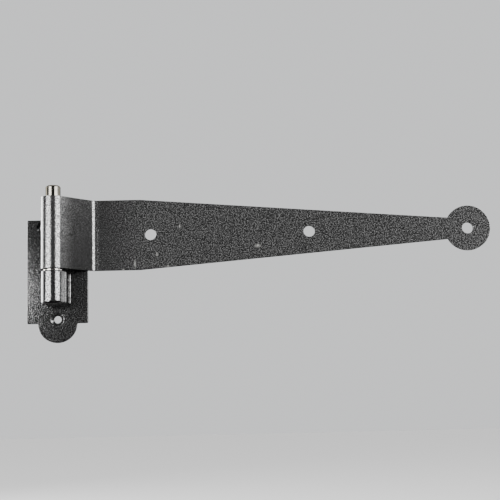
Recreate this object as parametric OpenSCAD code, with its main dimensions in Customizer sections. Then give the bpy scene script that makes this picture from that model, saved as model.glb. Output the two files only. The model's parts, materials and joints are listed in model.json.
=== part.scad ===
// Cranked lift-off T hinge. A tapered strap with a penny end is rolled round a pin,
// and the pin stands in a bracket that is screwed to the wall plate from behind.
// Millimetres. The wall is the plane y = 0, and the hinge stands in front of it at y < 0.
// +X runs along the strap, +Y points into the wall, and +Z runs up the pin.
// The pin's axis is at x = 0, and the strap's centre line is at z = 0.

/* [Strap] */
// Distance from the pin's axis to the tip of the penny end
strap_length = 300; // [260:1:360]
// Height of the strap, and so of its knuckle, before it tapers
strap_width = 49; // [42:1:56]
// Thickness of the strap
strap_thickness = 3; // [2.5:0.1:3.5]
// Distance from the pin's axis to the start of the taper
taper_start = 57; // [45:1:70]
// Height to which the taper would narrow at the centre of the penny end
neck_width = 12.6; // [10:0.2:18]
// Diameter of the penny end
penny_d = 31.2; // [26:0.2:36]
// Diameter of the fixing holes in the strap
strap_hole_d = 7.8; // [6:0.1:9]
// Number of fixing holes, counted back from the penny end
strap_hole_count = 3; // [1:1:3]
// Distance between neighbouring fixing holes
strap_hole_pitch = 110; // [80:1:112]

/* [Crank] */
// Distance from the wall to the pin's axis
pin_offset = 20; // [18:0.5:24]
// Angle between the cranked length of the strap and the wall
crank_angle = 49; // [45:1:52]
// Radius on the inside of the crank's bend
bend_r = 4; // [1:0.1:5]
// Outer diameter of the rolled knuckle, whose wall is a little thinner than the strap
knuckle_d = 16; // [16:0.1:17]
// Angle of the notch left open between the end of the roll and the strap
seam_angle = 54; // [54:1:70]

/* [Pin and washer] */
// Diameter of the pin
pin_d = 10; // [8:0.5:11]
// Height of the pin's top above the knuckle
pin_proud = 7.8; // [4:0.2:12]
// Depth of the pin in its bracket
pin_depth = 18; // [12:1:19]
// Radial clearance of the knuckle on the pin
knuckle_clearance = 0.08; // [0.03:0.01:0.1]
// Outer diameter of the thrust washer
washer_d = 12.8; // [12.2:0.2:15]
// Thickness of the thrust washer
washer_t = 1.6; // [1:0.2:2.4]
// Radial clearance of the washer on the pin
washer_clearance = 0.1; // [0.05:0.05:0.3]

/* [Bracket] */
// Diameter of the round boss that holds the pin
boss_d = 15.7; // [15:0.1:17]
// Height of the boss and of the lug behind it
boss_h = 22.6; // [20:0.2:28]
// Radius round the boss's lower edge
boss_r = 2.6; // [1:0.2:3]
// Width of the lug between the boss and the plate
lug_w = 15.8; // [15:0.1:16.8]
// Distance of the lug's middle from the pin's axis, towards the strap
lug_offset = 0.7; // [0.5:0.1:1]
// Radius of the lug's front corner on the strap's side
lug_corner_r = 2; // [1:0.1:2.5]
// Radius of the fillets between the lug and the plate
lug_fillet_r = 0.8; // [0.5:0.1:2]

/* [Wall plate] */
// Width of the plate
plate_w = 41.7; // [38:0.1:41.8]
// Height of the plate's straight sides
plate_h = 71.8; // [66:0.2:84]
// Thickness of the plate
plate_thickness = 3; // [2.5:0.1:3.5]
// Height of the plate's top edge above the strap's centre line
plate_top = 11.5; // [6:0.5:18]
// Radius of the half-round lobe below the plate
lobe_r = 13.3; // [10:0.1:16]
// Diameter of the screw holes in the plate
plate_hole_d = 5; // [4:0.5:6]
// Diameter of their countersinks on the front face
countersink_d = 8.9; // [8:0.1:9.4]
// Distance between the two upper screw holes
upper_hole_gap = 19.8; // [18:0.2:24]
// Distance of the upper screw holes below the plate's top edge
upper_hole_drop = 5.2; // [5:0.2:8]
// Distance of the lower screw hole above the plate's bottom edge
lower_hole_rise = 2.7; // [0:0.1:4]

/* [Bracket screws] */
// Diameter of the two screws that hold the bracket
screw_d = 5; // [4:0.5:5]
// Length of each screw
screw_length = 12; // [10:0.5:13]
// Diameter of each screw's countersunk head
screw_head_d = 9.2; // [8:0.2:9.2]
// Distance between the two screws
screw_gap = 12.4; // [11:0.2:14]
// Width across the flats of each screw's socket
socket_w = 3; // [2:0.5:3]

/* [Hidden] */
$fn = 96;

coat = [0.13, 0.13, 0.135];
bright = [0.74, 0.73, 0.71];
burnished = [0.3, 0.29, 0.27];

cut = 1;                      // how far a cutter runs past the face that it opens
pin_r = pin_d / 2;
bore_r = pin_r + knuckle_clearance;
knuckle_r = knuckle_d / 2;
knuckle_bottom = -strap_width / 2;
penny_r = penny_d / 2;
penny_x = strap_length - penny_r;
boss_top = knuckle_bottom - washer_t;
boss_bottom = boss_top - boss_h;
plate_bottom = plate_top - plate_h;
pin_chamfer = 1;
washer_edge = 0.25;
boss_edge = 0.6;              // chamfer round the boss's upper edge
lug_depth = pin_offset - 1 - plate_thickness;
fillet_lip = 0.2;             // thickness left at the outer edge of each fillet
socket_depth = 2;
screw_mid = boss_top - boss_h / 2;

// The crank's front face lies face_r in front of the pin's axis, just inside the knuckle's
// outer surface so that the two cross cleanly, and starts sheet_lap inside the roll. It would
// meet the flat front face at corner_x, and the bend takes bend_tangent off each of the two.
face_r = knuckle_r - 0.02;
sheet_lap = 0.3;
bend_tangent = bend_r * tan(crank_angle / 2);
corner_x = face_r * sin(crank_angle)
    + (pin_offset + face_r * cos(crank_angle) - strap_thickness) / tan(crank_angle);
bend_centre = [corner_x + bend_tangent, -strap_thickness - bend_r];
bend_steps = 12;

function polar(r, angle) = [r * cos(angle), r * sin(angle)];

// Points of an arc, from one angle to another.
function arc(centre, r, from, to) =
    [for (i = [0 : bend_steps]) centre + polar(r, from + (to - from) * i / bend_steps)];

// The knuckle seen from above along the pin, cut open where the end of the roll comes round
// to the strap. The cut's long side lies inside the sheet that is added to it.
module roll() {
    sheet_mid = face_r - strap_thickness / 2;
    difference() {
        circle(r = knuckle_r);
        rotate(crank_angle)
            polygon([[0, 0], [0, -sheet_mid], [sheet_mid * tan(seam_angle), -sheet_mid]]);
    }
}

// The sheet seen from above, from inside the roll through the bend and past the penny end.
module sheet() {
    tangent_point = [0, -pin_offset] + polar(face_r, crank_angle - 90);
    front_start = tangent_point - polar(sheet_lap, crank_angle);
    back_start = front_start + polar(strap_thickness, crank_angle + 90);
    end_x = strap_length + cut;
    polygon(concat(
        [back_start, front_start],
        arc(bend_centre, bend_r, 90 + crank_angle, 90),
        [[end_x, -strap_thickness], [end_x, 0]],
        arc(bend_centre, bend_r + strap_thickness, 90, 90 + crank_angle)
    ));
}

module strap_plan() {
    difference() {
        union() {
            translate([0, -pin_offset])
                roll();
            sheet();
        }
        translate([0, -pin_offset])
            circle(r = bore_r);
    }
}

// The strap seen from the front: full height, then a straight taper, then the penny end.
module strap_outline() {
    start_x = -2 * knuckle_r;
    half = strap_width / 2;
    neck = neck_width / 2;
    polygon([
        [start_x, -half], [taper_start, -half], [penny_x, -neck],
        [penny_x, neck], [taper_start, half], [start_x, half]
    ]);
    translate([penny_x, 0])
        circle(r = penny_r);
}

// Turns a shape drawn in X and Z to stand in front of the wall, from y = 0 to y = -depth.
module stand_up(depth) {
    rotate([90, 0, 0])
        linear_extrude(depth)
            children();
}

// A round hole right through a sheet whose back is on the wall.
module through_hole(x, z, d, sheet) {
    translate([x, cut, z])
        rotate([90, 0, 0])
            cylinder(d = d, h = sheet + 2 * cut);
}

// A 90 degree countersink in a sheet's front face.
module front_countersink(x, z, top_d, bottom_d, sheet) {
    depth = (top_d - bottom_d) / 2;
    translate([x, -sheet + depth, z])
        rotate([90, 0, 0])
            cylinder(d1 = bottom_d, d2 = top_d + 2 * cut, h = depth + cut);
}

module strap() {
    color(coat)
        difference() {
            intersection() {
                translate([0, 0, -strap_width])
                    linear_extrude(2 * strap_width)
                        strap_plan();
                translate([0, knuckle_r, 0])
                    stand_up(pin_offset + 3 * knuckle_r)
                        strap_outline();
            }
            for (i = [0 : strap_hole_count - 1])
                through_hole(penny_x - i * strap_hole_pitch, 0, strap_hole_d, strap_thickness);
        }
}

module thrust_washer() {
    inner = pin_r + washer_clearance;
    outer = washer_d / 2;
    color(bright)
        translate([0, -pin_offset, boss_top])
            rotate_extrude()
                polygon([
                    [inner, 0], [outer - washer_edge, 0], [outer, washer_edge],
                    [outer, washer_t - washer_edge], [outer - washer_edge, washer_t],
                    [inner, washer_t]
                ]);
}

module pintle_pin() {
    bottom = boss_top - pin_depth;
    top = strap_width / 2 + pin_proud;
    color(burnished)
        translate([0, -pin_offset, 0])
            rotate_extrude()
                polygon([
                    [0, bottom], [pin_r, bottom], [pin_r, top - pin_chamfer],
                    [pin_r - pin_chamfer, top], [0, top]
                ]);
}

// One screw that stands in front of the wall, with its flat head on the plane y = 0.
module bracket_screw() {
    head_depth = (screw_head_d - screw_d) / 2;
    difference() {
        rotate([90, 0, 0]) {
            cylinder(d = screw_d, h = screw_length);
            cylinder(d1 = screw_head_d, d2 = screw_d, h = head_depth);
        }
        translate([0, cut, 0])
            rotate([90, 0, 0])
                cylinder(d = socket_w / cos(30), h = socket_depth + cut, $fn = 6);
    }
}

// Puts its children at the height of each bracket screw.
module at_screws() {
    for (side = [-1, 1])
        translate([0, 0, screw_mid + side * screw_gap / 2])
            children();
}

module bracket_screws() {
    color(bright)
        at_screws()
            bracket_screw();
}

// Half of the boss's section, with a chamfer at the top and a round lower edge.
module boss_section() {
    r = boss_d / 2;
    difference() {
        polygon([
            [0, 0], [r, 0], [r, boss_h - boss_edge], [r - boss_edge, boss_h], [0, boss_h]
        ]);
        difference() {
            translate([r - boss_r, -cut])
                square([boss_r + cut, boss_r + cut]);
            translate([r - boss_r, boss_r])
                circle(r = boss_r);
        }
    }
}

// The lug from above: square at the back and at one front corner, round at the other.
module lug_plan() {
    half = lug_w / 2;
    r = lug_corner_r;
    translate([lug_offset, -plate_thickness - lug_depth]) {
        translate([-half, 0])
            square([lug_w - r, lug_depth + cut]);
        translate([half - r, r])
            square([r, lug_depth + cut - r]);
        translate([half - r, r])
            circle(r = r);
    }
}

// The fillet on the lug's strap side from above. It starts inside the lug.
module fillet_plan() {
    r = lug_fillet_r;
    translate([lug_w / 2, -plate_thickness - fillet_lip - r])
        difference() {
            translate([-cut, 0])
                square([cut + r, r + fillet_lip]);
            translate([r, 0])
                circle(r = r);
        }
}

// The lug's section in X and Z, with both lower corners rounded like the boss.
module lug_section() {
    half = lug_w / 2;
    translate([-half, boss_bottom + boss_r])
        square([lug_w, boss_h - boss_r]);
    translate([boss_r - half, boss_bottom])
        square([lug_w - 2 * boss_r, boss_r]);
    for (side = [-1, 1])
        translate([side * (half - boss_r), boss_bottom + boss_r])
            circle(r = boss_r);
}

// The lug with its fillets, which start above its round lower corners.
module lug() {
    intersection() {
        translate([0, 0, boss_bottom - cut])
            linear_extrude(boss_h + 2 * cut)
                lug_plan();
        translate([lug_offset, -plate_thickness, 0])
            stand_up(lug_depth + cut)
                lug_section();
    }
    translate([lug_offset, 0, boss_bottom + boss_r])
        linear_extrude(boss_h - boss_r) {
            fillet_plan();
            mirror([1, 0])
                fillet_plan();
        }
}

module pin_bracket() {
    color(coat)
        difference() {
            union() {
                translate([0, -pin_offset, boss_bottom])
                    rotate_extrude()
                        boss_section();
                lug();
            }
            translate([0, -pin_offset, boss_top - pin_depth])
                cylinder(r = pin_r, h = pin_depth + cut);
            at_screws()
                rotate([90, 0, 0])
                    cylinder(d = screw_d, h = screw_length);
        }
}

module wall_plate() {
    upper_z = plate_top - upper_hole_drop;
    lower_z = plate_bottom + lower_hole_rise;
    holes = [[-upper_hole_gap / 2, upper_z], [upper_hole_gap / 2, upper_z], [0, lower_z]];
    head_depth = (screw_head_d - screw_d) / 2;
    color(coat)
        difference() {
            stand_up(plate_thickness) {
                translate([-plate_w / 2, plate_bottom])
                    square([plate_w, plate_h]);
                translate([0, plate_bottom])
                    circle(r = lobe_r);
            }
            for (hole = holes) {
                through_hole(hole.x, hole.y, plate_hole_d, plate_thickness);
                front_countersink(hole.x, hole.y, countersink_d, plate_hole_d, plate_thickness);
            }
            at_screws() {
                through_hole(0, 0, screw_d, plate_thickness);
                rotate([90, 0, 0])
                    cylinder(d1 = screw_head_d, d2 = screw_d, h = head_depth);
            }
        }
}

wall_plate();
pin_bracket();
bracket_screws();
pintle_pin();
thrust_washer();
strap();
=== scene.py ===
import bpy
import bmesh
import json
import math
from mathutils import Matrix, Quaternion, Vector


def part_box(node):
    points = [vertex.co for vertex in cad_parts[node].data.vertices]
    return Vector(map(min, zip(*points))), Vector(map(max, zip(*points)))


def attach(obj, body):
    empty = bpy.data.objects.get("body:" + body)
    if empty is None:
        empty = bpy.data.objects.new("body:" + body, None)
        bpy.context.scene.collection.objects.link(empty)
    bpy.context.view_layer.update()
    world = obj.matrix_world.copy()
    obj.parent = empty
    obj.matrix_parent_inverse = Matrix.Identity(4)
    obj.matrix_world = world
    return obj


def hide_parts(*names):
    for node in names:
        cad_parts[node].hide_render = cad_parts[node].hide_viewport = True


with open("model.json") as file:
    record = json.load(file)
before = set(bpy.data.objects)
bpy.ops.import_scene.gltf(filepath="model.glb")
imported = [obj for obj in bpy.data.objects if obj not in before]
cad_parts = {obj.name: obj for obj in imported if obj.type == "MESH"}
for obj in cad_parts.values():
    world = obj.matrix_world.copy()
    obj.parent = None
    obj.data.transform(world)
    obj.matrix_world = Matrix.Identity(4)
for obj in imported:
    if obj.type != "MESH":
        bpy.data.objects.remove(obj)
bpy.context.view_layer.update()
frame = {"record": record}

# Millimetres below, in the frame of the CAD: +X along the strap, +Y into the wall, +Z up the pin.
MM = 0.001


def box_mm(node):
    return [Vector(corner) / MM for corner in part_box(node)]


_, strap_hi = box_mm("strap")
plate_lo, plate_hi = box_mm("wall_plate")
pin_lo, pin_hi = box_mm("pintle_pin")
washer_lo, washer_hi = box_mm("thrust_washer")
bracket_lo, bracket_hi = box_mm("pin_bracket")
mounts = {m["name"]: m for m in frame["record"]["mounts"]}


def mount_xz(name):
    x, _, z = mounts[name]["pos_m"]
    return x / MM, z / MM


def mount_r(name):
    return mounts[name]["dims"]["r_mm"]


SHEET = 3.0                                  # thickness of the strap and of the plate
KNUCKLE_R = 8.0                              # outer radius of the roll
AXIS_Y = -20.0                               # the pin's axis is at x = 0, y = AXIS_Y
PIN_R = pin_hi.x
HALF_STRAP = strap_hi.z
BORE_R = PIN_R + 0.08                        # bore of the roll
CRANK = math.radians(49)                     # between the cranked length and the wall
BEND_R = 4.0                                 # inner radius of the bend between them
SEAM = math.radians(54)                      # opening of the roll at its back
TAPER_X = 57.0                               # where the taper starts
NECK = 6.3                                   # half the height the taper aims at
PENNY_R = 15.6
PENNY_X = strap_hi.x - PENNY_R
SHEET_EDGE = 0.2                             # radius of the strap's and plate's edges
HOLE_EDGE = 0.12                             # radius of the rims of the strap's holes
SEAM_TAPER = 4.0                             # length over which the sheet thins to the roll


# ---------------------------------------------------------------- mesh helpers

def shade(mesh, sharp=math.radians(32)):
    """Smooth faces with sharp edges wherever two faces meet at more than that angle."""
    bm = bmesh.new()
    bm.from_mesh(mesh)
    for face in bm.faces:
        face.smooth = True
    for edge in bm.edges:
        if len(edge.link_faces) == 2:
            edge.smooth = edge.calc_face_angle(0) < sharp
    bm.to_mesh(mesh)
    bm.free()


def add_piece(name, mesh, finish, body, *nodes):
    """A shown piece that rides on a body and stands for CAD nodes. Its finish is (slot, material); the
    slot is not used.
    """
    slot, material = finish
    obj = bpy.data.objects.new(name, mesh)
    bpy.context.scene.collection.objects.link(obj)
    mesh.materials.append(material)
    shade(mesh)
    weighted = obj.modifiers.new("weighted_normals", "WEIGHTED_NORMAL")
    weighted.keep_sharp = True
    weighted.weight = 60
    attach(obj, body)
    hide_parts(*nodes)


def mesh_from(bm, name):
    """The mesh of a bmesh in millimetres, in metres, with its normals outwards."""
    bmesh.ops.remove_doubles(bm, verts=bm.verts, dist=1e-4)
    bmesh.ops.recalc_face_normals(bm, faces=bm.faces)
    bmesh.ops.scale(bm, vec=(MM, MM, MM), verts=bm.verts)
    mesh = bpy.data.meshes.new(name)
    bm.to_mesh(mesh)
    bm.free()
    return mesh


def add_ring(bm, points):
    return [bm.verts.new(p) for p in points]


def bridge(bm, ring_a, ring_b):
    """Joins two closed rings of as many points with quads."""
    count = len(ring_a)
    for i in range(count):
        j = (i + 1) % count
        bm.faces.new((ring_a[i], ring_a[j], ring_b[j], ring_b[i]))


def loft(bm, rings):
    for low, high in zip(rings, rings[1:]):
        bridge(bm, low, high)


def fill(bm, *rings):
    """Fills the flat space between closed rings."""
    edges = []
    for ring in rings:
        for i, vert in enumerate(ring):
            other = ring[(i + 1) % len(ring)]
            edges.append(bm.edges.get((vert, other)) or bm.edges.new((vert, other)))
    bmesh.ops.triangle_fill(bm, use_beauty=True, use_dissolve=False, edges=edges)


def circle(cx, cy, r, steps):
    angles = [2 * math.pi * i / steps for i in range(steps)]
    return [(cx + r * math.cos(a), cy + r * math.sin(a)) for a in angles]


def arc(cx, cy, r, start, end, steps):
    """Points of an arc in degrees, both ends included."""
    angles = [math.radians(start + (end - start) * i / steps) for i in range(steps + 1)]
    return [(cx + r * math.cos(a), cy + r * math.sin(a)) for a in angles]


def inset(points, d):
    """A closed anticlockwise loop moved inwards by d."""
    moved = []
    for i, (x, y) in enumerate(points):
        before, after = points[i - 1], points[(i + 1) % len(points)]
        a = Vector((x - before[0], y - before[1])).normalized()
        b = Vector((after[0] - x, after[1] - y)).normalized()
        side = (Vector((-a.y, a.x)) + Vector((-b.y, b.x))) / (1 + a.dot(b))
        moved.append((x + side.x * d, y + side.y * d))
    return moved


def round_edge(half, r, steps=4):
    """(inset, t) pairs from the middle of a sheet's rim to its face at t = half."""
    angles = [math.pi / 2 * i / steps for i in range(steps + 1)]
    return [(r * (1 - math.cos(a)), half - r * (1 - math.sin(a))) for a in angles]


def sheet_blank(outline, holes, thickness, edge):
    """A flat sheet in X and Y, with t in Z and round edges. Each hole is (x, y, [(radius, t) ...])."""
    bm = bmesh.new()
    rim = round_edge(thickness / 2, edge)
    rim = [(d, -t) for d, t in reversed(rim)] + rim
    backs, fronts = [], []
    loops = [[[(x, y, t) for x, y in inset(outline, d)] for d, t in rim]]
    for x, y, profile in holes:
        loops.append([[(px, py, t) for px, py in circle(x, y, r, 64)] for r, t in profile])
    for levels in loops:
        rings = [add_ring(bm, level) for level in levels]
        loft(bm, rings)
        backs.append(rings[0])
        fronts.append(rings[-1])
    fill(bm, *backs)
    fill(bm, *fronts)
    return bm


def plain_hole(x, y, r):
    """A drilled hole through the strap for sheet_blank."""
    rim = [(r + d, t) for d, t in round_edge(SHEET / 2, HOLE_EDGE)]
    return x, y, [(radius, -t) for radius, t in reversed(rim)] + rim


def lathe(profile, x, y, upright=True, steps=128, hexagon=()):
    """A turned solid from (radius, height) pairs, from axis to axis or as a closed ring.

    It stands along Z at x, y, or lies along Y at x, z. Entries listed in hexagon are six-sided.
    """
    bm = bmesh.new()
    rings = []
    for k, (r, h) in enumerate(profile):
        ring = []
        for i in range(steps):
            a = 2 * math.pi * i / steps
            reach = r / math.cos((a + math.pi / 6) % (math.pi / 3) - math.pi / 6) if k in hexagon else r
            u, v = x + reach * math.cos(a), y + reach * math.sin(a)
            ring.append((u, v, h) if upright else (u, h, v))
        rings.append(add_ring(bm, ring))
    loft(bm, rings)
    if profile[0][0] > 0:
        bridge(bm, rings[-1], rings[0])
    return bm


# ---------------------------------------------------------------- materials

class Nodes:
    """A node tree, with a short call for each kind of node used here."""

    def __init__(self, tree):
        self.tree = tree

    def feed(self, socket, value):
        """Links the socket to another node's output, or sets its value."""
        if isinstance(value, bpy.types.NodeSocket):
            self.tree.links.new(value, socket)
        else:
            socket.default_value = value

    def add(self, kind, inputs=None, **settings):
        made = self.tree.nodes.new(kind)
        for key, value in settings.items():
            setattr(made, key, value)
        for key, value in (inputs or {}).items():
            self.feed(made.inputs[key], value)
        return made

    def place(self, output="Object"):
        return self.add("ShaderNodeTexCoord").outputs[output]

    def split(self, vector):
        return self.add("ShaderNodeSeparateXYZ", {"Vector": vector}).outputs

    def noise(self, vector, scale, detail, rough=0.5):
        inputs = {"Vector": vector, "Scale": scale, "Detail": detail, "Roughness": rough}
        return self.add("ShaderNodeTexNoise", inputs).outputs["Fac"]

    def mapped(self, vector, **inputs):
        return self.add("ShaderNodeMapping", {"Vector": vector, **inputs}).outputs["Vector"]

    def ramp(self, source, stops):
        """A colour ramp through (place, grey or colour) stops."""
        made = self.add("ShaderNodeValToRGB", {"Fac": source})
        elements = made.color_ramp.elements
        while len(elements) < len(stops):
            elements.new(0.5)
        for element, (place, value) in zip(elements, stops):
            element.position = place
            element.color = (*value, 1) if isinstance(value, tuple) else (value, value, value, 1)
        return made.outputs["Color"]

    def to_range(self, source, lo, hi, from_lo=0.3, from_hi=0.7):
        inputs = {"Value": source, "From Min": from_lo, "From Max": from_hi, "To Min": lo, "To Max": hi}
        return self.add("ShaderNodeMapRange", inputs).outputs["Result"]

    def math(self, operation, first, second):
        return self.add("ShaderNodeMath", {0: first, 1: second}, operation=operation).outputs["Value"]

    def mix(self, factor, first, second):
        inputs = {"Factor": factor, "A": first, "B": second}
        return self.add("ShaderNodeMix", inputs, data_type="RGBA").outputs["Result"]

    def bump(self, height, strength, distance):
        inputs = {"Height": height, "Strength": strength, "Distance": distance}
        return self.add("ShaderNodeBump", inputs).outputs["Normal"]


def new_material(name, make, *options):
    """A material whose shader takes the sockets that make(nodes, *options) returns."""
    material = bpy.data.materials.new(name)
    material.use_nodes = True
    nodes = Nodes(material.node_tree)
    shader = material.node_tree.nodes["Principled BSDF"]
    for key, value in make(nodes, *options).items():
        nodes.feed(shader.inputs[key], value)
    return material


# Scuffs on the strap's front: x and z of the middle, and half the width and height, in mm.
SCUFFS = ((53.5, -20.3, 0.9, 3.4), (138.6, -9.4, 2.6, 1.5), (45.5, -24.2, 1.0, 0.7),
          (76.1, -22.4, 1.3, 0.7), (68.8, -14.1, 0.8, 1.8), (84.7, 5.2, 0.6, 1.6))
SCUFF_COLOUR = (0.22, 0.22, 0.21, 1)


def scuffed(nodes, place, grains):
    """1 on the scuffs and 0 elsewhere, with ragged edges."""
    total = 0
    for x, z, half_w, half_h in SCUFFS:
        halves = half_w * MM, MM, half_h * MM
        middle = x * MM, -SHEET * MM, z * MM
        local = nodes.mapped(place, Location=[-m / h for m, h in zip(middle, halves)],
                             Scale=[1 / h for h in halves])
        away = nodes.add("ShaderNodeVectorMath", {0: local}, operation="LENGTH").outputs["Value"]
        total = nodes.math("ADD", nodes.to_range(away, 1, 0, 0.2, 1.1), total)
    return nodes.math("MULTIPLY", total, nodes.to_range(grains, 0.3, 1, 0.35, 0.6))


def powder_coat(nodes, dark, light, rough, grain, rolled=False):
    """Fine-textured black powder coat: small grains in colour, shine, bump and roughness.

    On the rolled sheet the crank, the roll and the blade next to them are painted darker with fewer
    pale grains, as painted shade of the knuckle, and the blade is painted paler towards its tip as
    painted light. The blade has scuffs, and the roll and a part of the crank are duller.
    """
    place = nodes.place()
    fine = nodes.noise(place, 1300, 1)
    peel = nodes.noise(place, 1400, 0)
    wear = nodes.noise(place, 120, 3)
    colour = nodes.ramp(fine, [(0.46, dark), (0.68, light)])
    roughness = nodes.to_range(wear, rough - 0.01, rough + 0.02)
    if rolled:
        x = nodes.split(place)["X"]
        blade = nodes.to_range(x, 0, 1, 0, strap_hi.x * MM)
        # painted shade: near black by the crank and roll, rising to full grains towards the tip as
        # painted light
        painted_shading = nodes.ramp(blade, [(0.06, 0), (0.2, 0.76), (0.6, 0.8), (1, 1)])
        painted_shading_colour = nodes.mix(painted_shading, (2 * dark, 2 * dark, 2 * dark, 1), colour)
        colour = nodes.mix(scuffed(nodes, place, peel), painted_shading_colour, SCUFF_COLOUR)
        crank = nodes.to_range(x, 0, 1, 0, 0.04)
        dull = nodes.ramp(crank, [(0, 0.1), (0.2, 0.08), (0.34, 0), (0.58, 0), (0.65, 0.12), (0.74, 0)])
        roughness = nodes.math("ADD", roughness, dull)
    return {
        "Base Color": colour,
        "Roughness": roughness,
        "Specular IOR Level": nodes.to_range(peel, 0.15, 0.75),
        "Normal": nodes.bump(fine, grain, 0.0001),
        "IOR": 2.0,
    }


def turned_steel(nodes, low, high, rough, lines):
    """Turned steel: fine rings round its axis, and faint stains in colour and roughness."""
    place = nodes.place()
    turned = nodes.noise(nodes.mapped(place, Scale=(60, 60, 5200)), 1, 3, 0.6)
    stain = nodes.noise(place, 260, 3)
    return {
        "Base Color": nodes.ramp(stain, [(0.3, low), (0.7, high)]),
        "Metallic": 1,
        "Specular Tint": (*low, 1),
        "Roughness": nodes.to_range(stain, rough, rough + 0.06),
        "Normal": nodes.bump(turned, lines, 0.00005),
    }


def zinc(nodes, low, high):
    """Zinc plate: small spangles in roughness and bump, and a faint change of tint."""
    place = nodes.place()
    grains = nodes.noise(place, 900, 3)
    tint = nodes.noise(place, 160, 2)
    return {
        "Base Color": nodes.ramp(tint, [(0.3, low), (0.7, high)]),
        "Metallic": 1,
        "Roughness": nodes.to_range(grains, 0.26, 0.42),
        "Normal": nodes.bump(grains, 0.2, 0.0001),
    }


def pale_paint(nodes):
    return {"Base Color": (0.80, 0.80, 0.80, 1), "Roughness": 0.8}


# Each finish is a slot of the record and a material. A coat's numbers are its dark and light
# grains, its roughness and its bump; steel's are its two tints, its roughness and its bump.
plate_coat = "black_powder_coat", new_material(
    "fine_black_coat", powder_coat, 0.0, 0.045, 0.07, 0.25)
strap_coat = "black_powder_coat", new_material(
    "rolled_black_coat", powder_coat, 0.003, 0.118, 0.12, 0.35, True)
bracket_coat = "black_powder_coat", new_material(
    "smooth_black_coat", powder_coat, 0.001, 0.012, 0.17, 0.25)
burnished = "burnished_steel", new_material(
    "burnished_pin", turned_steel, (0.12, 0.115, 0.10), (0.17, 0.16, 0.14), 0.07, 0.05)
steel = "bright_steel", new_material(
    "turned_washer", turned_steel, (0.60, 0.575, 0.54), (0.74, 0.725, 0.70), 0.16, 0.25)
plated = "zinc_plate", new_material(
    "zinc_coat", zinc, (0.52, 0.53, 0.55), (0.66, 0.66, 0.63))


# ---------------------------------------------------------------- strap

# The sheet is followed from the penny end back to the end of the roll. Up to the bend the
# distance along it is x itself; then come the bend, the cranked length and the roll.
face_r = KNUCKLE_R - 0.02
corner_x = face_r * math.sin(CRANK) + (-AXIS_Y + face_r * math.cos(CRANK) - SHEET) / math.tan(CRANK)
bend_x = corner_x + BEND_R * math.tan(CRANK / 2)
bend_y = -SHEET - BEND_R
bend_mid = BEND_R + SHEET / 2
bend_length = bend_mid * CRANK
tangent_x = face_r * math.sin(CRANK)
tangent_y = AXIS_Y - face_r * math.cos(CRANK)
bend_start = (bend_x - BEND_R * math.sin(CRANK), bend_y + BEND_R * math.cos(CRANK))
crank_length = math.hypot(bend_start[0] - tangent_x, bend_start[1] - tangent_y)
roll_sheet = KNUCKLE_R - BORE_R
roll_mid = KNUCKLE_R - roll_sheet / 2
roll_length = roll_mid * (2 * math.pi - SEAM)
crank_s = bend_x - bend_length
roll_s = crank_s - crank_length
end_s = roll_s - roll_length


def along(s, t):
    """The point of the sheet at distance s along it and t in front of its middle, in X and Y."""
    if s >= bend_x:
        return s, -SHEET / 2 - t
    if s >= crank_s:
        a = math.pi / 2 + (bend_x - s) / bend_mid
        r = bend_mid - t
        return bend_x + r * math.cos(a), bend_y + r * math.sin(a)
    if s >= roll_s:
        d = crank_s - s
        x = bend_start[0] - d * math.cos(CRANK)
        y = bend_start[1] - d * math.sin(CRANK)
        back = SHEET / 2 - t
        near = max(0.0, 1 - (s - roll_s) / SEAM_TAPER)
        back *= 1 - near * (1 - roll_sheet / SHEET)
        return x - back * math.sin(CRANK), y + back * math.cos(CRANK)
    a = -(math.pi / 2 - CRANK) - (roll_s - s) / roll_mid
    r = roll_mid + t * roll_sheet / SHEET
    return r * math.cos(a), AXIS_Y + r * math.sin(a)


def build_strap():
    # the taper meets the penny's circle where both are as far from its centre
    slope = (HALF_STRAP - NECK) / (PENNY_X - TAPER_X)
    near, far = PENNY_X - PENNY_R, PENNY_X
    for _ in range(40):
        x = (near + far) / 2
        if math.hypot(x - PENNY_X, NECK + slope * (PENNY_X - x)) > PENNY_R:
            near = x
        else:
            far = x
    meet = math.degrees(math.atan2(NECK + slope * (PENNY_X - near), near - PENNY_X))
    outline = [(end_s, -HALF_STRAP), (TAPER_X, -HALF_STRAP)]
    outline += arc(PENNY_X, 0, PENNY_R, -meet, meet, 96)
    outline += [(TAPER_X, HALF_STRAP), (end_s, HALF_STRAP)]
    names = ("strap_hole_1", "strap_hole_2", "strap_hole_3")
    holes = [plain_hole(*mount_xz(n), mount_r(n)) for n in names]
    bm = sheet_blank(outline, holes, SHEET, SHEET_EDGE)
    stations = [bend_x - bend_length * i / 12 for i in range(13)]
    stations += [crank_s - crank_length * i / 12 for i in range(1, 12)]
    stations += [roll_s - roll_length * i / 100 for i in range(100)]
    for s in stations:
        parts = bm.verts[:] + bm.edges[:] + bm.faces[:]
        bmesh.ops.bisect_plane(bm, geom=parts, dist=1e-4, plane_co=(s, 0, 0), plane_no=(1, 0, 0))
    for vert in bm.verts:
        s, z, t = vert.co
        vert.co = (*along(s, t), z)
    return mesh_from(bm, "strap_leaf")


add_piece("strap_leaf", build_strap(), strap_coat, "band", "strap")


# ---------------------------------------------------------------- wall plate

SINK_R = 4.45                                # countersinks of the plate's three open holes
SCREW_Z = (-31.2, -43.6)
HEAD_R, SCREW_R, SCREW_LENGTH = 4.6, 2.5, 12.0
LOBE_R = 13.3
PLATE_CORNER_R = 0.9


def sink_profile(bore):
    """A countersunk hole of the plate, from its back to its front, for sheet_blank."""
    face = SHEET / 2
    cone = face - (SINK_R - bore)
    return [(bore + 0.2, -face), (bore + 0.05, -face + 0.06), (bore, -face + 0.2),
            (bore, cone - 0.05), (bore + 0.05, cone + 0.05),
            (SINK_R - 0.2, face - 0.22), (SINK_R - 0.06, face - 0.09),
            (SINK_R + 0.06, face - 0.02), (SINK_R + 0.2, face)]


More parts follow.
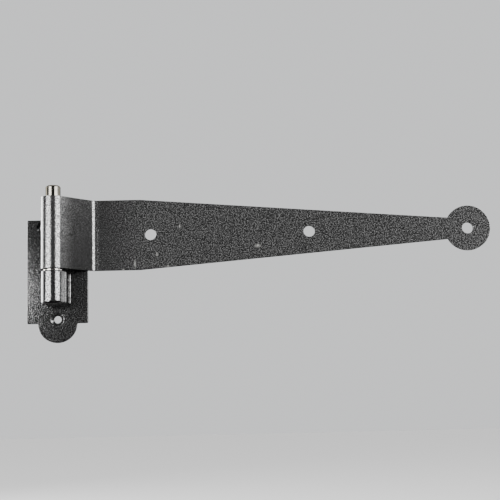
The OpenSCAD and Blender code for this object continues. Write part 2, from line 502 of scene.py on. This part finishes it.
def build_plate():
    edge_z = plate_lo.z + LOBE_R
    half, top = plate_hi.x, plate_hi.z
    r, lobe_r = PLATE_CORNER_R, LOBE_R
    # the fillet between the plate's bottom edge and its lobe
    fillet = 0.8
    reach = math.sqrt((lobe_r + fillet) ** 2 - fillet ** 2)
    swing = math.degrees(math.asin(fillet / (lobe_r + fillet)))
    outline = arc(half - r, top - r, r, 0, 90, 6)
    outline += arc(-half + r, top - r, r, 90, 180, 6)
    outline += arc(-half + r, edge_z + r, r, 180, 270, 6)
    outline += arc(-reach, edge_z - fillet, fillet, 90, swing, 5)[1:]
    outline += arc(0, edge_z, lobe_r, 180 + swing, 360 - swing, 72)[1:]
    outline += arc(reach, edge_z - fillet, fillet, 180 - swing, 90, 5)[1:]
    outline += arc(half - r, edge_z + r, r, 270, 360, 6)
    names = ("plate_hole_upper_left", "plate_hole_upper_right", "plate_hole_lower")
    holes = [(*mount_xz(name), sink_profile(mount_r(name))) for name in names]
    face = SHEET / 2
    seat = [(HEAD_R + 0.15, -face), (HEAD_R, -face + 0.15), (SCREW_R, face - 0.8), (SCREW_R, face)]
    holes += [(0, z, seat) for z in SCREW_Z]
    bm = sheet_blank(outline, holes, SHEET, SHEET_EDGE)
    for vert in bm.verts:
        x, z, t = vert.co
        vert.co = (x, -face - t, z)
    return mesh_from(bm, "wall_plate_body")


add_piece("wall_plate_body", build_plate(), plate_coat, "root", "wall_plate")


# ---------------------------------------------------------------- pin bracket

BOSS_R = 7.85
LOW_R, TOP_R = 2.6, 0.6                      # radii of the bottom and top edges
FILLET_R, FILLET_LIP = 0.8, 0.2              # the lug's fillets, and their flat lips at the plate
CORNER_R = 2.0                               # the lug's round corner on the strap's side
CORNER_BACK = 1.0                            # from the pin's axis back to that corner
CORNER_STEP = 0.3                            # how much further back it is at the very bottom
FILLET_LOSS, CORNER_LOSS = 0.9, 0.6          # share of both radii lost at the very bottom
PIN_DEPTH = 17.9
LUG_LEFT, LUG_RIGHT = bracket_lo.x + FILLET_R, bracket_hi.x - FILLET_R


def bracket_section(z, shrink, set_back):
    """A level of the bracket: the lug's two sides with their fillets at the plate, and the boss."""
    r = BOSS_R - shrink
    y = AXIS_Y + CORNER_BACK + set_back
    right, left = LUG_RIGHT - shrink, LUG_LEFT + shrink
    lip, fillet = (size * (1 - FILLET_LOSS * shrink / LOW_R) for size in (FILLET_LIP, FILLET_R))
    corner = CORNER_R * (1 - CORNER_LOSS * shrink / LOW_R)
    outline = [(right + fillet, bracket_hi.y)]
    outline += arc(right + fillet, bracket_hi.y - lip - fillet, fillet, 90, 180, 8)
    # the round corner runs into the boss where the two arcs cross
    cx, cy = right - corner, y + corner
    gap = math.hypot(cx, cy - AXIS_Y)
    aim = math.atan2(cy - AXIS_Y, cx)
    turn = math.acos((gap ** 2 + r ** 2 - corner ** 2) / (2 * gap * r))
    meet = (r * math.cos(aim - turn), AXIS_Y + r * math.sin(aim - turn))
    outline += arc(cx, cy, corner, 0, math.degrees(math.atan2(meet[1] - cy, meet[0] - cx)), 8)[:-1]
    side = 180 - math.degrees(math.acos(-left / r))
    outline += arc(0, AXIS_Y, r, math.degrees(aim - turn), side - 360, 60)
    outline += arc(left - fillet, bracket_hi.y - lip - fillet, fillet, 0, 90, 8)
    outline.append((left - fillet, bracket_hi.y))
    return [(px, py, z) for px, py in outline]


def build_bracket():
    top, bottom = bracket_hi.z, bracket_lo.z
    straight = top - bottom - LOW_R - TOP_R
    levels = []
    for i in range(9):
        a = math.pi / 2 * i / 8
        away = 1 - math.sin(a)
        levels.append((bottom + LOW_R * (1 - math.cos(a)), LOW_R * away, CORNER_STEP * away))
    levels += [(bottom + LOW_R + straight * i / 8, 0, 0) for i in range(1, 8)]
    for i in range(7):
        a = math.pi / 2 * i / 6
        away = TOP_R * (1 - math.cos(a))
        levels.append((top - TOP_R * (1 - math.sin(a)), away, away))
    bm = bmesh.new()
    rings = [add_ring(bm, bracket_section(*level)) for level in levels]
    loft(bm, rings)
    fill(bm, rings[0])
    bore = [(PIN_R + 0.35, top), (PIN_R + 0.02, top - 0.3), (PIN_R + 0.02, top - PIN_DEPTH)]
    walls = [add_ring(bm, [(x, y, z) for x, y in circle(0, AXIS_Y, r, 96)]) for r, z in bore]
    loft(bm, walls)
    fill(bm, rings[-1], walls[0])
    fill(bm, walls[-1])
    return mesh_from(bm, "pin_bracket_body")


add_piece("pin_bracket_body", build_bracket(), bracket_coat, "root", "pin_bracket")


# ---------------------------------------------------------------- pin, washer and screws

def build_pin():
    top, bottom = pin_hi.z, pin_lo.z
    chamfer = 1.0
    side = top - chamfer - 0.25
    profile = [(0, bottom), (PIN_R - 0.4, bottom), (PIN_R, bottom + 0.4)]
    profile += [(PIN_R, bottom + (side - bottom) * i / 4) for i in range(1, 5)]
    profile += [(PIN_R - 0.06, top - chamfer), (PIN_R - chamfer + 0.12, top - 0.16),
                (PIN_R - chamfer - 0.2, top), (PIN_R * 0.4, top), (0, top)]
    return mesh_from(lathe(profile, 0, AXIS_Y), "pin_shaft")


def build_washer():
    play = 0.1                               # round the pin, and above and below
    inner, outer = PIN_R + play, washer_hi.x
    low, high = washer_lo.z + play, washer_hi.z - play
    middle, half = (low + high) / 2, (high - low) / 2
    r, chamfer = 0.62, 0.15
    profile = [(inner + chamfer, low)]
    for k in range(10):
        a = math.radians(-90 + 20 * k)
        profile.append((outer - r + r * math.cos(a), middle + half * math.sin(a)))
    profile += [(inner + chamfer, high), (inner, high - chamfer), (inner, low + chamfer)]
    return mesh_from(lathe(profile, 0, AXIS_Y), "washer_ring")


def build_screws():
    socket = 1.5
    socket_rings = (7, 8, 9)
    tip = 0.6
    profile = [(0, -SCREW_LENGTH), (SCREW_R - tip, -SCREW_LENGTH), (SCREW_R, -SCREW_LENGTH + tip),
               (SCREW_R, -2.3), (HEAD_R - 0.05, -0.2), (HEAD_R - 0.12, -0.06), (HEAD_R - 0.35, 0),
               (socket + 0.12, 0), (socket, -0.12), (socket, -2.0), (0, -2.5)]
    both = bmesh.new()
    for z in SCREW_Z:
        one = bpy.data.meshes.new("one")
        lathe(profile, 0, z, False, 72, socket_rings).to_mesh(one)
        both.from_mesh(one)
        bpy.data.meshes.remove(one)
    return mesh_from(both, "bracket_screws_pair")


add_piece("pin_shaft", build_pin(), burnished, "root", "pintle_pin")
add_piece("washer_ring", build_washer(), steel, "washer", "thrust_washer")
add_piece("bracket_screws_pair", build_screws(), plated, "root", "bracket_screws")


# ---------------------------------------------------------------- floor, light and camera

TARGET = Vector((133.1, 0, -12.0)) * MM
LIT = Vector((0, AXIS_Y, 0)) * MM            # the softboxes stand round the knuckle
LAMP_DISTANCE = 1.3


def area_light(name, azimuth, elevation, spin, width, height, power):
    """A softbox that faces the hinge, turned about its own axis by spin, all in degrees.

    Azimuth 0 is in front of the hinge, and 90 is along +X.
    """
    a, e = math.radians(azimuth), math.radians(elevation)
    out = Vector((math.sin(a) * math.cos(e), -math.cos(a) * math.cos(e), math.sin(e)))
    lamp = bpy.data.lights.new(name, "AREA")
    lamp.shape = "RECTANGLE"
    lamp.size, lamp.size_y = width, height
    lamp.energy = power
    obj = bpy.data.objects.new(name, lamp)
    obj.location = LIT + out * LAMP_DISTANCE
    obj.rotation_mode = "QUATERNION"
    obj.rotation_quaternion = out.to_track_quat("Z", "Y") @ Quaternion((0, 0, 1), math.radians(spin))
    obj.visible_camera = False
    bpy.context.scene.collection.objects.link(obj)


area_light("softbox_left", -42.8, -1.4, 45, 1.25, 0.9, 50)
area_light("softbox_right", 57, 13, -25, 1.0, 0.9, 38)
area_light("rim_left", -130, 5, 0, 0.9, 0.9, 30)
area_light("upper_right", 88, 27.5, 0, 0.5, 0.6, 3.8)

# The room is pale where the camera sees it. The hinge sees it dark in front and below, and
# bright behind and to the sides.
world = bpy.data.worlds.new("studio")
bpy.context.scene.world = world
world.use_nodes = True
world.node_tree.nodes.clear()
room = Nodes(world.node_tree)
towards = room.split(room.place("Generated"))
behind = room.to_range(towards["Y"], 0, 1, -1, 1)
glow = room.ramp(behind, [(0, 0.04), (0.5, 0.04), (0.57, 0.8), (0.86, 0.8), (0.97, 0.04), (1, 0.04)])
strength = room.to_range(towards["Z"], 0.3, 3.0, -0.45, -0.15)
hidden = room.add("ShaderNodeBackground", {"Color": glow, "Strength": strength})
shown = room.add("ShaderNodeBackground", {"Color": (0.86, 0.87, 0.88, 1), "Strength": 1.0})
camera_ray = room.add("ShaderNodeLightPath").outputs["Is Camera Ray"]
surface = room.add("ShaderNodeMixShader", {
    "Fac": camera_ray, 1: hidden.outputs["Background"], 2: shown.outputs["Background"]})
room.add("ShaderNodeOutputWorld", {"Surface": surface.outputs["Shader"]})

FLOOR_HALF, FLOOR_Z = 4.0, -0.30
corners = [(x * FLOOR_HALF, y * FLOOR_HALF, FLOOR_Z) for x, y in ((-1, -1), (1, -1), (1, 1), (-1, 1))]
floor_mesh = bpy.data.meshes.new("floor")
floor_mesh.from_pydata(corners, [], [(0, 1, 2, 3)])
floor_mesh.materials.append(new_material("pale_floor", pale_paint))
floor = bpy.data.objects.new("floor", floor_mesh)
bpy.context.scene.collection.objects.link(floor)
floor.visible_glossy = False
floor.visible_diffuse = False

YAW, PITCH, ROLL = 0.005, 0.125, -0.022      # the camera looks up at the hinge
DISTANCE, LENS = 763.5 * MM, 79.2
ahead = Vector((math.sin(YAW) * math.cos(PITCH), math.cos(YAW) * math.cos(PITCH), math.sin(PITCH)))
level_x = Vector((math.cos(YAW), -math.sin(YAW), 0))
level_y = level_x.cross(ahead)
right = math.cos(ROLL) * level_x + math.sin(ROLL) * level_y
above = -math.sin(ROLL) * level_x + math.cos(ROLL) * level_y
camera_data = bpy.data.cameras.new("camera")
camera_data.sensor_width = 36
camera_data.lens = LENS
camera = bpy.data.objects.new("camera", camera_data)
turn = Matrix((right, above, -ahead)).transposed()
camera.matrix_world = Matrix.Translation(TARGET - ahead * DISTANCE) @ turn.to_4x4()
bpy.context.scene.collection.objects.link(camera)
bpy.context.scene.camera = camera

bpy.context.view_layer.update()
